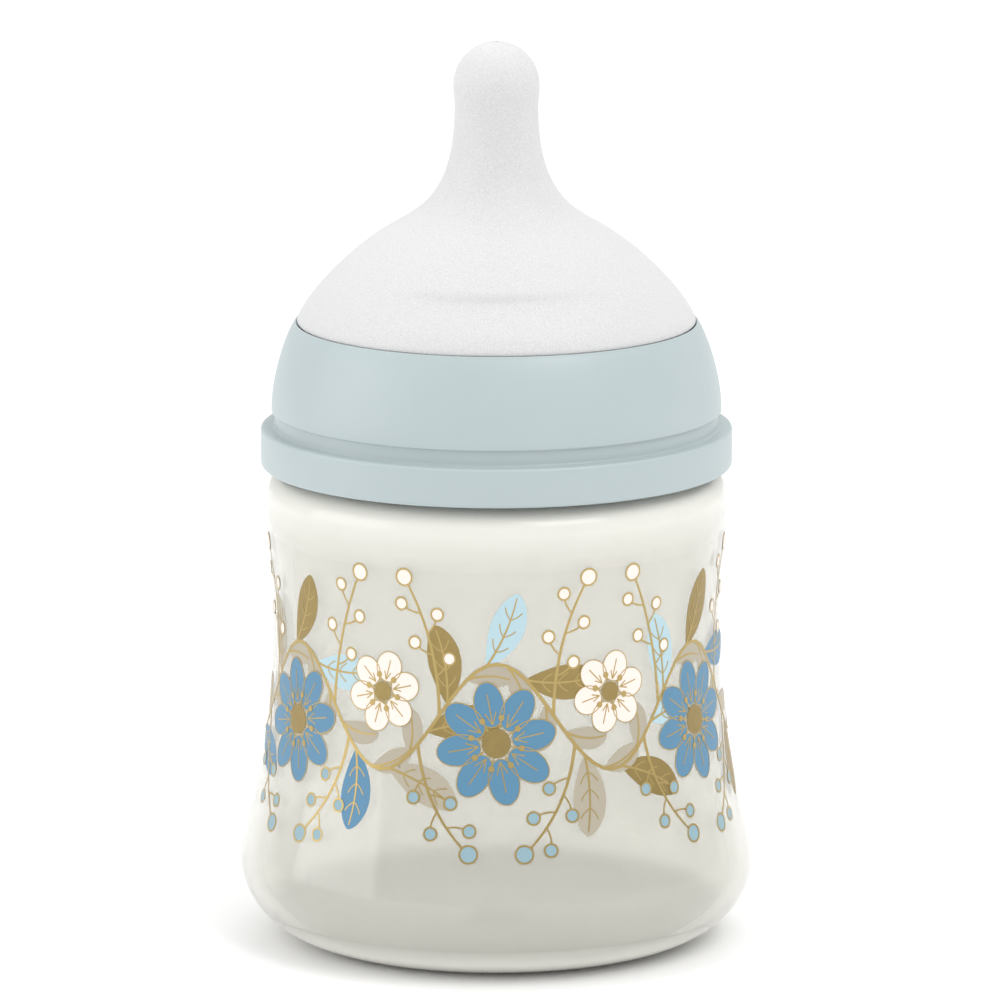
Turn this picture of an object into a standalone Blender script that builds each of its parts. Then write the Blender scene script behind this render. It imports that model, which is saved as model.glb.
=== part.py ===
"""Wide-neck baby bottle: a moulded polypropylene bottle, a screw ring and a hollow silicone teat.

The bottle stands on its foot at the origin and its centre line is +Z. The ring screws onto the neck
with a right-hand two-start thread and clamps the teat's flange against the mouth.
Lengths are in metres, and every piece is a turned shape about the centre line.
"""

import math

import bmesh
import bpy
from mathutils.geometry import interpolate_bezier

MM = 0.001

# How finely the turned shapes are cut, and the space kept between pieces that touch
SEGMENTS = 48
CONTACT_GAP = 0.3 * MM
SCREW_CLEARANCE = 0.35 * MM

# Bottle
BODY_HEIGHT = 64.9 * MM
WALL = 1.7 * MM
FOOT_INNER_RADIUS = 19.6 * MM
FOOT_RADIUS = 23.1 * MM
BASE_RECESS = 0.5 * MM
BELLY_RADIUS = 35.0 * MM
BELLY_HEIGHT = 11.0 * MM
WAIST_DEPTH = 0.8 * MM
WAIST_HEIGHT = 45.5 * MM
SHOULDER_WIDTH = 4.8 * MM
SHOULDER_ROUND = 3.4 * MM
NECK_FILLET = 0.6 * MM
MOUTH_EDGE = 0.35 * MM

# Neck and its thread
NECK_RADIUS = 26.6 * MM
NECK_HEIGHT = 13.5 * MM
THREAD_LEAD = 8.0 * MM
THREAD_STARTS = 2
THREAD_DEPTH = 1.0 * MM
THREAD_ROOT = 1.9 * MM
THREAD_CREST = 0.9 * MM
THREAD_SINK = 0.5 * MM
RUNOUT_SINK = 0.15 * MM
THREAD_BOTTOM = 4.6 * MM
THREAD_TOP_MARGIN = 3.3 * MM
THREAD_RUNOUT = math.radians(24)
RING_THREAD_LAG = math.radians(40)
RING_THREAD_TURN = math.radians(150)
THREAD_STEP = math.tau / SEGMENTS
THREAD_FLANK = (THREAD_ROOT - THREAD_CREST) / 2 / THREAD_DEPTH

# Screw ring
SHOULDER_GAP = 0.5 * MM
RING_WALL = 2.65 * MM
FLANGE_STEP = 1.45 * MM
FLANGE_HEIGHT = 5.3 * MM
GROOVE_DEPTH = 0.45 * MM
GROOVE_HEIGHT = 2.2 * MM
GROOVE_FILLET = 0.45 * MM
LIP_REACH = 1.8 * MM
LIP_THICKNESS = 1.6 * MM
SEAT_WIDTH = 2.3 * MM
SEAT_HEIGHT = 2.9 * MM
RIM_WALL = 0.4 * MM
FLANGE_TOP_EDGE = 0.3 * MM
FLANGE_BOTTOM_EDGE = 0.6 * MM
RING_MOUTH_CHAMFER = 0.6 * MM
CORE_WALL = 1.4 * MM
CORE_DEPTH = 4.0 * MM

# Teat
TEAT_WALL = 1.9 * MM
TEAT_FLANGE = 1.6 * MM
TEAT_FLANGE_EDGE = 0.25 * MM
RIM_REVEAL = 0.3 * MM
DOME_HEIGHT = 12.35 * MM
DOME_TOP_RADIUS = 15.1 * MM
FLANK_SLOPE = 0.613
NIPPLE_HEIGHT = 16.85 * MM
NIPPLE_WAIST_RADIUS = 5.68 * MM
BULB_HEIGHT = 2.8 * MM
BULB_RADIUS = 5.87 * MM
TIP_ROUND = 6.05 * MM
TIP_HOLE_RADIUS = 0.35 * MM
VENT_COUNT = 2
VENT_WIDTH = 1.4 * MM
VENT_DEPTH = 0.5 * MM
VENT_INSIDE = 0.6 * MM

# Radii and heights that follow from the sizes above
SHOULDER_RADIUS = NECK_RADIUS + SHOULDER_WIDTH
WAIST_RADIUS = SHOULDER_RADIUS - WAIST_DEPTH
MOUTH_HEIGHT = BODY_HEIGHT + NECK_HEIGHT
RING_BOTTOM = BODY_HEIGHT + SHOULDER_GAP
RING_BORE = NECK_RADIUS + THREAD_DEPTH + SCREW_CLEARANCE
SHELL_RADIUS = RING_BORE + RING_WALL
FLANGE_RADIUS = SHELL_RADIUS + FLANGE_STEP
GROOVE_RADIUS = SHELL_RADIUS - GROOVE_DEPTH
LIP_RADIUS = NECK_RADIUS - LIP_REACH
LIP_UNDERSIDE = NECK_HEIGHT - SHOULDER_GAP + CONTACT_GAP + TEAT_FLANGE + CONTACT_GAP
LIP_TOP = LIP_UNDERSIDE + LIP_THICKNESS
RING_HEIGHT = LIP_TOP + SEAT_HEIGHT
RIM_INNER_RADIUS = LIP_RADIUS + SEAT_WIDTH
RIM_RADIUS = RIM_INNER_RADIUS + RIM_WALL


def clear_scene():
    for obj in list(bpy.data.objects):
        bpy.data.objects.remove(obj)


def curve(start, start_pull, end_pull, end, steps):
    """Points of a Bezier curve after its start; each pull is the step from an end to its handle."""
    first_handle = (start[0] + start_pull[0], start[1] + start_pull[1], 0)
    last_handle = (end[0] + end_pull[0], end[1] + end_pull[1], 0)
    points = interpolate_bezier((*start, 0), first_handle, last_handle, (*end, 0), steps + 1)
    return [(point[0], point[1]) for point in points[1:]]


def upright(start, end, start_share, end_share, steps):
    """A curve that leaves and arrives upright; the shares are of its height."""
    height = end[1] - start[1]
    return curve(start, (0, start_share * height), (0, -end_share * height), end, steps)


def arc(centre, radii, start, end, steps):
    """Points of an elliptic arc, both ends included; angles in degrees from +r towards +z."""
    points = []
    for step in range(steps + 1):
        angle = math.radians(start + (end - start) * step / steps)
        points.append((centre[0] + radii[0] * math.cos(angle), centre[1] + radii[1] * math.sin(angle)))
    return points


def inset(outline, distance):
    """The outline moved towards the centre line by distance, at right angles to itself."""
    moved = []
    for index, (r, z) in enumerate(outline):
        before = outline[max(index - 1, 0)]
        after = outline[min(index + 1, len(outline) - 1)]
        along = (after[0] - before[0], after[1] - before[1])
        length = math.hypot(*along)
        moved.append((r - distance * along[1] / length, z + distance * along[0] / length))
    return moved


def material(name, colour, roughness, alpha=1.0):
    made = bpy.data.materials.new(name)
    made.use_nodes = True
    shader = made.node_tree.nodes["Principled BSDF"]
    shader.inputs["Base Color"].default_value = (*colour, 1)
    shader.inputs["Roughness"].default_value = roughness
    shader.inputs["Metallic"].default_value = 0
    shader.inputs["Alpha"].default_value = alpha
    return made


def add_object(name, bm, height, finish=None):
    """Makes an object whose origin is on the centre line at this height, where its mesh is measured from."""
    mesh = bpy.data.meshes.new(name)
    bmesh.ops.recalc_face_normals(bm, faces=bm.faces)
    bm.to_mesh(mesh)
    bm.free()
    obj = bpy.data.objects.new(name, mesh)
    obj.location.z = height
    bpy.context.scene.collection.objects.link(obj)
    if finish:
        mesh.materials.append(finish)
        mesh.shade_smooth()
        mesh.set_sharp_from_angle(angle=math.radians(35))
    return obj


def turned(outline, closed):
    """A solid turned about the centre line. An open outline starts and ends on the line itself."""
    bm = bmesh.new()
    verts = [bm.verts.new((r, 0, z)) for r, z in outline]
    pairs = list(zip(verts, verts[1:]))
    if closed:
        pairs.append((verts[-1], verts[0]))
    edges = [bm.edges.new(pair) for pair in pairs]
    bmesh.ops.spin(
        bm, geom=verts + edges, cent=(0, 0, 0), axis=(0, 0, 1), angle=math.tau, steps=SEGMENTS, use_merge=True
    )
    bmesh.ops.remove_doubles(bm, verts=bm.verts, dist=0.001 * MM)
    return bm


def thread_half_width(stand_off):
    """Half the thread's height along the centre line, at this distance from its root."""
    return THREAD_CREST / 2 + THREAD_FLANK * (THREAD_DEPTH - stand_off)


def thread(root_radius, outward, bottom, first_angle, turn):
    """One start of a right-hand thread that stands off a wall at root_radius.

    bottom is the height of its middle at first_angle. The crest runs out into the wall at both ends.
    """
    bm = bmesh.new()
    steps = round(turn / THREAD_STEP)
    rings = []
    for step in range(steps + 1):
        swept = turn * step / steps
        angle = first_angle + swept
        middle = bottom + THREAD_LEAD * swept / math.tau
        run_in = min(1, swept / THREAD_RUNOUT, (turn - swept) / THREAD_RUNOUT)
        crest = (THREAD_DEPTH + RUNOUT_SINK) * run_in - RUNOUT_SINK
        ring = []
        for stand_off, side in ((-THREAD_SINK, -1), (crest, -1), (crest, 1), (-THREAD_SINK, 1)):
            r = root_radius + outward * stand_off
            height = middle + side * thread_half_width(stand_off)
            ring.append(bm.verts.new((r * math.cos(angle), r * math.sin(angle), height)))
        rings.append(ring)
    for ring, following in zip(rings, rings[1:]):
        for corner in range(len(ring)):
            beside = (corner + 1) % len(ring)
            bm.faces.new((ring[corner], ring[beside], following[beside], following[corner]))
    bm.faces.new(rings[0])
    bm.faces.new(rings[-1])
    return bm


def add_boolean(obj, name, tool, operation):
    """Joins or cuts obj with a tool object that isn't a piece itself."""
    tool.hide_render = True
    tool.display_type = "WIRE"
    tool.parent = obj
    tool.matrix_parent_inverse = obj.matrix_basis.inverted()
    modifier = obj.modifiers.new(name, "BOOLEAN")
    modifier.operation = operation
    modifier.object = tool


def body_outline():
    """The outside of the bottle from the foot's outer edge to the top of the neck."""
    foot = (FOOT_RADIUS, 0)
    belly = (BELLY_RADIUS, BELLY_HEIGHT)
    waist = (WAIST_RADIUS, WAIST_HEIGHT)
    shoulder = (SHOULDER_RADIUS, BODY_HEIGHT - SHOULDER_ROUND)
    belly_width = BELLY_RADIUS - FOOT_RADIUS
    outline = [foot]
    outline += curve(foot, (0.62 * belly_width, 0.03 * belly_width), (0, -0.5 * BELLY_HEIGHT), belly, 8)
    outline += upright(belly, waist, 0.1, 0.62, 7)
    outline += upright(waist, shoulder, 0.5, 0.45, 4)
    shoulder_round = (SHOULDER_WIDTH - NECK_FILLET - MOUTH_EDGE, SHOULDER_ROUND)
    shoulder_centre = (SHOULDER_RADIUS - shoulder_round[0], shoulder[1])
    outline += arc(shoulder_centre, shoulder_round, 0, 90, 5)[1:]
    outline += arc((NECK_RADIUS + NECK_FILLET, BODY_HEIGHT + NECK_FILLET), (NECK_FILLET, NECK_FILLET), 270, 180, 2)
    outline.append((NECK_RADIUS, MOUTH_HEIGHT - MOUTH_EDGE))
    return outline


def make_bottle():
    outside = body_outline()
    inside = inset(outside, WALL)
    base = [(0, BASE_RECESS), (FOOT_INNER_RADIUS - BASE_RECESS, BASE_RECESS), (FOOT_INNER_RADIUS, 0)]
    mouth = [(NECK_RADIUS - MOUTH_EDGE, MOUTH_HEIGHT), (NECK_RADIUS - WALL + MOUTH_EDGE, MOUTH_HEIGHT)]
    floor = [(0, inside[0][1])]
    outline = base + outside + mouth + inside[::-1] + floor
    finish = material("clear_polypropylene", (0.88, 0.87, 0.83), 0.3, 0.35)
    body = add_object("bottle_body", turned(outline, closed=False), 0, finish)
    rise = NECK_HEIGHT - THREAD_BOTTOM - THREAD_TOP_MARGIN
    for start in range(THREAD_STARTS):
        first_angle = math.tau * start / THREAD_STARTS
        turn = math.tau * rise / THREAD_LEAD
        bm = thread(NECK_RADIUS, 1, BODY_HEIGHT + THREAD_BOTTOM, first_angle, turn)
        add_boolean(body, f"neck_thread_{start}", add_object(f"neck_thread_{start}", bm, 0), "UNION")
    return body


def ring_outline():
    """The ring's whole section, measured up from its underside."""
    shell_foot = FLANGE_HEIGHT + GROOVE_HEIGHT
    shell_rise = RING_HEIGHT - shell_foot
    rim = (RIM_RADIUS, RING_HEIGHT)
    shell_edge = 0.15 * MM
    core_outer = FLANGE_RADIUS - CORE_WALL
    core_inner = RING_BORE + CORE_WALL
    outline = [(RIM_INNER_RADIUS, RING_HEIGHT), rim]
    outline += curve(
        rim,
        (0.35 * (SHELL_RADIUS - RIM_RADIUS), -0.124 * shell_rise),
        (0, 0.38 * shell_rise),
        (SHELL_RADIUS, shell_foot + shell_edge),
        6,
    )
    outline.append((SHELL_RADIUS - shell_edge, shell_foot))
    outline.append((GROOVE_RADIUS, shell_foot))
    fillet_centre = (GROOVE_RADIUS + GROOVE_FILLET, FLANGE_HEIGHT + GROOVE_FILLET)
    outline += arc(fillet_centre, (GROOVE_FILLET, GROOVE_FILLET), 180, 270, 2)
    top_edge = (FLANGE_RADIUS - FLANGE_TOP_EDGE, FLANGE_HEIGHT - FLANGE_TOP_EDGE)
    outline += arc(top_edge, (FLANGE_TOP_EDGE, FLANGE_TOP_EDGE), 90, 0, 2)
    bottom_edge = (FLANGE_RADIUS - FLANGE_BOTTOM_EDGE, FLANGE_BOTTOM_EDGE)
    outline += arc(bottom_edge, (FLANGE_BOTTOM_EDGE, FLANGE_BOTTOM_EDGE), 0, -90, 2)
    outline += [(core_outer, 0), (core_outer, CORE_DEPTH), (core_inner, CORE_DEPTH), (core_inner, 0)]
    outline += [(RING_BORE + RING_MOUTH_CHAMFER, 0), (RING_BORE, RING_MOUTH_CHAMFER)]
    outline += [(RING_BORE, LIP_UNDERSIDE), (LIP_RADIUS, LIP_UNDERSIDE), (LIP_RADIUS, LIP_TOP)]
    return outline


def make_ring():
    finish = material("blue_green_polypropylene", (0.52, 0.60, 0.61), 0.35)
    ring = add_object("screw_ring", turned(ring_outline(), closed=True), RING_BOTTOM, finish)
    # The ring's thread bears upwards on the neck's: half of each where they pass, then the clearance
    passing = (thread_half_width(0) + thread_half_width(THREAD_DEPTH + SCREW_CLEARANCE)) / 2
    below = 2 * passing + SCREW_CLEARANCE
    lowest = BODY_HEIGHT + THREAD_BOTTOM - below + THREAD_LEAD * RING_THREAD_LAG / math.tau
    for start in range(THREAD_STARTS):
        first_angle = math.tau * start / THREAD_STARTS + RING_THREAD_LAG
        bm = thread(RING_BORE, -1, lowest - RING_BOTTOM, first_angle, RING_THREAD_TURN)
        tool = add_object(f"ring_thread_{start}", bm, RING_BOTTOM)
        add_boolean(ring, f"ring_thread_{start}", tool, "UNION")
    return ring


def teat_outline():
    """The teat's outside from the edge of its dome to its tip hole, measured up from the mouth."""
    rim_height = RING_BOTTOM + RING_HEIGHT - MOUTH_HEIGHT
    edge = (RIM_INNER_RADIUS, rim_height + RIM_REVEAL)
    dome_top = (DOME_TOP_RADIUS, edge[1] + DOME_HEIGHT)
    waist = (NIPPLE_WAIST_RADIUS, dome_top[1] + NIPPLE_HEIGHT)
    bulb = (BULB_RADIUS, waist[1] + BULB_HEIGHT)
    dome_width = edge[0] - DOME_TOP_RADIUS
    flank_width = DOME_TOP_RADIUS - NIPPLE_WAIST_RADIUS
    edge_pull = (-0.055 * dome_width, 0.2 * DOME_HEIGHT)
    dome_pull = 0.484 * dome_width
    flank_pull = 0.457 * flank_width
    outline = [edge]
    outline += curve(edge, edge_pull, (dome_pull, -FLANK_SLOPE * dome_pull), dome_top, 7)
    outline += curve(dome_top, (-flank_pull, FLANK_SLOPE * flank_pull), (0, -0.744 * NIPPLE_HEIGHT), waist, 6)
    outline += upright(waist, bulb, 0.4, 0.4, 2)
    hole_angle = math.degrees(math.acos(TIP_HOLE_RADIUS / BULB_RADIUS))
    outline += arc((0, bulb[1]), (BULB_RADIUS, TIP_ROUND), 0, hole_angle, 5)[1:]
    return outline


def make_teat():
    outside = teat_outline()
    inside = inset(outside, TEAT_WALL)
    tip_roof = inside[-1][1]
    inside[-1] = (TIP_HOLE_RADIUS, tip_roof)
    flange_radius = RING_BORE - CONTACT_GAP - MOUTH_EDGE / 2
    waist_radius = LIP_RADIUS - CONTACT_GAP
    bore_radius = waist_radius - TEAT_WALL
    flange_top = CONTACT_GAP + TEAT_FLANGE
    seat_length = math.hypot(SEAT_WIDTH, SEAT_HEIGHT)
    off_seat = (-CONTACT_GAP * SEAT_HEIGHT / seat_length, CONTACT_GAP * SEAT_WIDTH / seat_length)
    seat_top = (RIM_INNER_RADIUS + off_seat[0], outside[0][1] - RIM_REVEAL + off_seat[1])
    seat_bottom = (waist_radius, seat_top[1] - SEAT_HEIGHT)
    outline = [
        (bore_radius, CONTACT_GAP),
        (flange_radius - TEAT_FLANGE_EDGE, CONTACT_GAP),
        (flange_radius, CONTACT_GAP + TEAT_FLANGE_EDGE),
        (flange_radius, flange_top - TEAT_FLANGE_EDGE),
        (flange_radius - TEAT_FLANGE_EDGE, flange_top),
        (waist_radius, flange_top),
        seat_bottom,
        seat_top,
    ]
    outline += outside + inside[::-1] + [(bore_radius, seat_bottom[1])]
    finish = material("silicone", (0.80, 0.81, 0.80), 0.45, 0.6)
    teat = add_object("teat", turned(outline, closed=True), MOUTH_HEIGHT, finish)
    # Two channels under the flange let air past the mouth as the bottle is emptied
    inner_end = NECK_RADIUS - WALL - VENT_INSIDE
    outer_end = flange_radius + TEAT_WALL
    for vent in range(VENT_COUNT):
        angle = math.tau * vent / VENT_COUNT
        bm = bmesh.new()
        bmesh.ops.create_cube(bm, size=1)
        bmesh.ops.scale(bm, vec=(outer_end - inner_end, VENT_WIDTH, 2 * VENT_DEPTH), verts=bm.verts)
        bmesh.ops.translate(bm, vec=((outer_end + inner_end) / 2, 0, CONTACT_GAP), verts=bm.verts)
        tool = add_object(f"vent_{vent}", bm, MOUTH_HEIGHT)
        tool.rotation_euler.z = angle
        add_boolean(teat, f"vent_{vent}", tool, "DIFFERENCE")
    return teat


clear_scene()
bottle = make_bottle()
teat_piece = make_teat()
ring_piece = make_ring()
for child, parent in ((teat_piece, bottle), (ring_piece, teat_piece)):
    child.parent = parent
    child.matrix_parent_inverse = parent.matrix_basis.inverted()
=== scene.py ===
"""Looks of the wide-neck baby bottle: clear bottle with its print, frosted teat and satin screw ring.

Lengths are in metres in the part's own frame: the bottle stands on its foot and its centre line is +Z.
The print's art is drawn flat in millimetres, along the wall and up it, then laid on the wall.
"""

import math

import bmesh
import bpy
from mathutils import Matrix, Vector
from mathutils.geometry import interpolate_bezier


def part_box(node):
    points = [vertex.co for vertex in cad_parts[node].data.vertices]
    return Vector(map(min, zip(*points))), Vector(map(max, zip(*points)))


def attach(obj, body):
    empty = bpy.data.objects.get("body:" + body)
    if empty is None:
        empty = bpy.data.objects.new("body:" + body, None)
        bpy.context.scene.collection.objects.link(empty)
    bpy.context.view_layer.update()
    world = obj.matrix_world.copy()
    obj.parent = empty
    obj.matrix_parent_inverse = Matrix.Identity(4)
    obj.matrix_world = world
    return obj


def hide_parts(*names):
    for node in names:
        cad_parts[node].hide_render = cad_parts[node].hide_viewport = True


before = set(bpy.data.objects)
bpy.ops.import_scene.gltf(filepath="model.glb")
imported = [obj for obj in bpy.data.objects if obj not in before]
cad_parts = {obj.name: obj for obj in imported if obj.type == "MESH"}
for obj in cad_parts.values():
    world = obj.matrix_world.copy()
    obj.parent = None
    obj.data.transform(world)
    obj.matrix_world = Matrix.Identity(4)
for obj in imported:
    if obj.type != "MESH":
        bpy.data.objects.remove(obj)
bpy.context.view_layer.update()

# ---------------------------------------------------------------------------------------------------
# Bottle body
# One piece of clear polypropylene with a 1.7 mm wall, blown in a polished mould: a full belly, a slight
# waist, a rounded shoulder and a plain round neck. The base is recessed inside its foot.

MM = 0.001
TURN_STEPS = 192
WALL = 1.7 * MM
FOOT_INNER_RADIUS = 19.6 * MM
FOOT_RADIUS = 23.1 * MM
BASE_RECESS = 0.5 * MM
BELLY_HEIGHT = 11.0 * MM
WAIST_DEPTH = 0.8 * MM
WAIST_HEIGHT = 45.5 * MM
SHOULDER_WIDTH = 4.8 * MM
SHOULDER_ROUND = 3.4 * MM
NECK_FILLET = 0.6 * MM
NECK_HEIGHT = 13.5 * MM
MOUTH_EDGE = 0.35 * MM
NECK_RADIUS = 26.6 * MM
GATE_RADIUS = 3.3 * MM
GATE_HEIGHT = 1.3 * MM
GATE_WELL_RADIUS = 2.1 * MM

body_low, body_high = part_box("bottle_body")
BELLY_RADIUS = body_high.x
MOUTH_HEIGHT = body_high.z
BODY_HEIGHT = MOUTH_HEIGHT - NECK_HEIGHT
SHOULDER_RADIUS = NECK_RADIUS + SHOULDER_WIDTH
WAIST_RADIUS = SHOULDER_RADIUS - WAIST_DEPTH


def curve(start, start_pull, end_pull, end, steps):
    """Points of a Bezier curve after its start; each pull is the step from an end to its handle."""
    first_handle = (start[0] + start_pull[0], start[1] + start_pull[1], 0)
    last_handle = (end[0] + end_pull[0], end[1] + end_pull[1], 0)
    points = interpolate_bezier((*start, 0), first_handle, last_handle, (*end, 0), steps + 1)
    return [(point[0], point[1]) for point in points[1:]]


def upright(start, end, start_share, end_share, steps):
    """A curve that leaves and arrives upright; the shares are of its height."""
    height = end[1] - start[1]
    return curve(start, (0, start_share * height), (0, -end_share * height), end, steps)


def arc(centre, radii, start, end, steps):
    """Points of an elliptic arc, both ends included; angles in degrees from +r towards +z."""
    points = []
    for step in range(steps + 1):
        angle = math.radians(start + (end - start) * step / steps)
        points.append((centre[0] + radii[0] * math.cos(angle), centre[1] + radii[1] * math.sin(angle)))
    return points


def inset(outline, distance):
    """The outline moved towards the centre line by distance, at right angles to itself."""
    moved = []
    for index, (r, z) in enumerate(outline):
        before = outline[max(index - 1, 0)]
        after = outline[min(index + 1, len(outline) - 1)]
        along = (after[0] - before[0], after[1] - before[1])
        length = math.hypot(*along)
        moved.append((r - distance * along[1] / length, z + distance * along[0] / length))
    return moved


def as_object(name, bm, smooth_below=35):
    """A plain object at the origin from a closed bmesh, with its faces turned outwards."""
    bmesh.ops.recalc_face_normals(bm, faces=bm.faces)
    mesh = bpy.data.meshes.new(name)
    bm.to_mesh(mesh)
    bm.free()
    mesh.shade_smooth()
    mesh.set_sharp_from_angle(angle=math.radians(smooth_below))
    made = bpy.data.objects.new(name, mesh)
    bpy.context.scene.collection.objects.link(made)
    return made


def turned(name, outline, closed=True):
    """A solid turned about the centre line. An open outline starts and ends on the line itself."""
    bm = bmesh.new()
    verts = [bm.verts.new((r, 0, z)) for r, z in outline]
    pairs = list(zip(verts, verts[1:]))
    if closed:
        pairs.append((verts[-1], verts[0]))
    edges = [bm.edges.new(pair) for pair in pairs]
    bmesh.ops.spin(
        bm,
        geom=verts + edges,
        cent=(0, 0, 0),
        axis=(0, 0, 1),
        angle=math.tau,
        steps=TURN_STEPS,
        use_merge=True,
    )
    bmesh.ops.remove_doubles(bm, verts=bm.verts, dist=0.001 * MM)
    return as_object(name, bm)


foot = (FOOT_RADIUS, 0)
belly = (BELLY_RADIUS, BELLY_HEIGHT)
waist = (WAIST_RADIUS, WAIST_HEIGHT)
shoulder = (SHOULDER_RADIUS, BODY_HEIGHT - SHOULDER_ROUND)
belly_width = BELLY_RADIUS - FOOT_RADIUS
wall_outside = [foot]
wall_outside += curve(foot, (0.62 * belly_width, 0.03 * belly_width), (0, -0.5 * BELLY_HEIGHT), belly, 22)
wall_outside += upright(belly, waist, 0.1, 0.62, 24)
wall_outside += upright(waist, shoulder, 0.5, 0.45, 12)
shoulder_round = (SHOULDER_WIDTH - NECK_FILLET - MOUTH_EDGE, SHOULDER_ROUND)
wall_outside += arc((SHOULDER_RADIUS - shoulder_round[0], shoulder[1]), shoulder_round, 0, 90, 14)[1:]
neck_fillet = (NECK_RADIUS + NECK_FILLET, BODY_HEIGHT + NECK_FILLET)
wall_outside += arc(neck_fillet, (NECK_FILLET, NECK_FILLET), 270, 180, 6)
wall_outside.append((NECK_RADIUS, MOUTH_HEIGHT - MOUTH_EDGE))
wall_inside = inset(wall_outside, WALL)
floor_height = wall_inside[0][1]

mouth_edges = (MOUTH_EDGE, MOUTH_EDGE)
mouth = arc((NECK_RADIUS - MOUTH_EDGE, MOUTH_HEIGHT - MOUTH_EDGE), mouth_edges, 0, 90, 5)[1:]
mouth += arc((NECK_RADIUS - WALL + MOUTH_EDGE, MOUTH_HEIGHT - MOUTH_EDGE), mouth_edges, 90, 180, 5)
gate_well = [(0, BASE_RECESS + GATE_HEIGHT), (GATE_WELL_RADIUS - 0.3 * MM, BASE_RECESS + GATE_HEIGHT)]
gate_well += arc((GATE_WELL_RADIUS + 0.4 * MM, BASE_RECESS + 0.4 * MM), (0.4 * MM, 0.4 * MM), 180, 270, 5)
base = gate_well + [(FOOT_INNER_RADIUS - BASE_RECESS, BASE_RECESS), (FOOT_INNER_RADIUS, 0)]
gate_top = floor_height + GATE_HEIGHT
gate_boss = arc((GATE_RADIUS + 0.4 * MM, floor_height + 0.4 * MM), (0.4 * MM, 0.4 * MM), 270, 180, 5)
gate_boss += arc((GATE_RADIUS - 0.5 * MM, gate_top - 0.5 * MM), (0.5 * MM, 0.5 * MM), 0, 90, 6)
inside = wall_inside[-2::-1] + gate_boss + [(0, gate_top)]
bottle = turned("bottle", base + wall_outside + mouth + inside, False)


# The neck's thread: a right-hand thread of two starts, moulded with the neck. Each crest runs out to
# nothing at both ends. The screw ring has the matching thread inside, so both come from one tree.

THREAD_LEAD = 8.0 * MM
THREAD_STARTS = 2
THREAD_DEPTH = 1.0 * MM
THREAD_ROOT = 1.9 * MM
THREAD_CREST = 0.9 * MM
THREAD_SINK = 0.5 * MM
THREAD_BOTTOM = 4.6 * MM
THREAD_TOP_MARGIN = 3.3 * MM
THREAD_RUNOUT_TURN = 24 / 360
THREAD_FLANK = (THREAD_ROOT - THREAD_CREST) / 2 / THREAD_DEPTH


def add_node(tree, kind, inputs=(), **settings):
    """Adds a node with its settings; inputs gives a value or another node's socket for each input."""
    made = tree.nodes.new(kind)
    for name, value in settings.items():
        setattr(made, name, value)
    for key, value in dict(inputs).items():
        if isinstance(value, bpy.types.NodeSocket):
            tree.links.new(value, made.inputs[key])
        else:
            made.inputs[key].default_value = value
    return made


def new_tree(name, inputs):
    """A Geometry Nodes tree with these named inputs; gives the tree and its input node's sockets."""
    tree = bpy.data.node_groups.new(name, "GeometryNodeTree")
    tree.interface.new_socket("Geometry", in_out="INPUT", socket_type="NodeSocketGeometry")
    for label, kind in inputs.items():
        tree.interface.new_socket(label, in_out="INPUT", socket_type=f"NodeSocket{kind}")
    tree.interface.new_socket("Geometry", in_out="OUTPUT", socket_type="NodeSocketGeometry")
    return tree, tree.nodes.new("NodeGroupInput").outputs


def end_tree(tree, geometry, material):
    realised = add_node(tree, "GeometryNodeRealizeInstances", {"Geometry": geometry})
    painted = add_node(
        tree, "GeometryNodeSetMaterial", {"Geometry": realised.outputs[0], "Material": material}
    )
    add_node(tree, "NodeGroupOutput", {"Geometry": painted.outputs[0]})


def grown(name, tree, values, start_mesh=None):
    """Runs a tree once on a start mesh and keeps what it makes as a plain mesh."""
    made = bpy.data.objects.new(name, start_mesh or bpy.data.meshes.new(name))
    bpy.context.scene.collection.objects.link(made)
    modifier = made.modifiers.new(tree.name, "NODES")
    modifier.node_group = tree
    for socket in tree.interface.items_tree:
        if socket.name in values:
            modifier[socket.identifier] = values[socket.name]
    graph = bpy.context.evaluated_depsgraph_get()
    mesh = bpy.data.meshes.new_from_object(made.evaluated_get(graph))
    made.modifiers.remove(modifier)
    made.data = mesh
    mesh.name = name
    return made


thread_tree, given = new_tree(
    "moulded_thread",
    {
        "Root Radius": "Float",
        "Bottom": "Float",
        "First Angle": "Float",
        "Turns": "Float",
        "Lead": "Float",
        "Starts": "Int",
        "Profile Turn": "Float",
        "Profile Shift": "Float",
        "Root": "Float",
        "Crest": "Float",
        "Profile Depth": "Float",
        "Run Out": "Float",
        "Material": "Material",
    },
)
rise = add_node(thread_tree, "ShaderNodeMath", {0: given["Lead"], 1: given["Turns"]}, operation="MULTIPLY")
helix = add_node(
    thread_tree,
    "GeometryNodeCurveSpiral",
    {
        "Resolution": 144,
        "Rotations": given["Turns"],
        "Start Radius": given["Root Radius"],
        "End Radius": given["Root Radius"],
        "Height": rise.outputs[0],
    },
)
level = add_node(thread_tree, "GeometryNodeSetCurveNormal", {"Curve": helix.outputs[0]}, mode="Z_UP")
along = add_node(thread_tree, "GeometryNodeSplineParameter")
turned_so_far = add_node(
    thread_tree, "ShaderNodeMath", {0: along.outputs["Factor"], 1: given["Turns"]}, operation="MULTIPLY"
)
turned_left = add_node(
    thread_tree, "ShaderNodeMath", {0: given["Turns"], 1: turned_so_far.outputs[0]}, operation="SUBTRACT"
)
nearer_end = add_node(
    thread_tree,
    "ShaderNodeMath",
    {0: turned_so_far.outputs[0], 1: turned_left.outputs[0]},
    operation="MINIMUM",
)
crest_share = add_node(
    thread_tree,
    "ShaderNodeMapRange",
    {"Value": nearer_end.outputs[0], "From Max": given["Run Out"], "To Min": 0.08, "To Max": 1.0},
    interpolation_type="SMOOTHSTEP",
)
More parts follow.
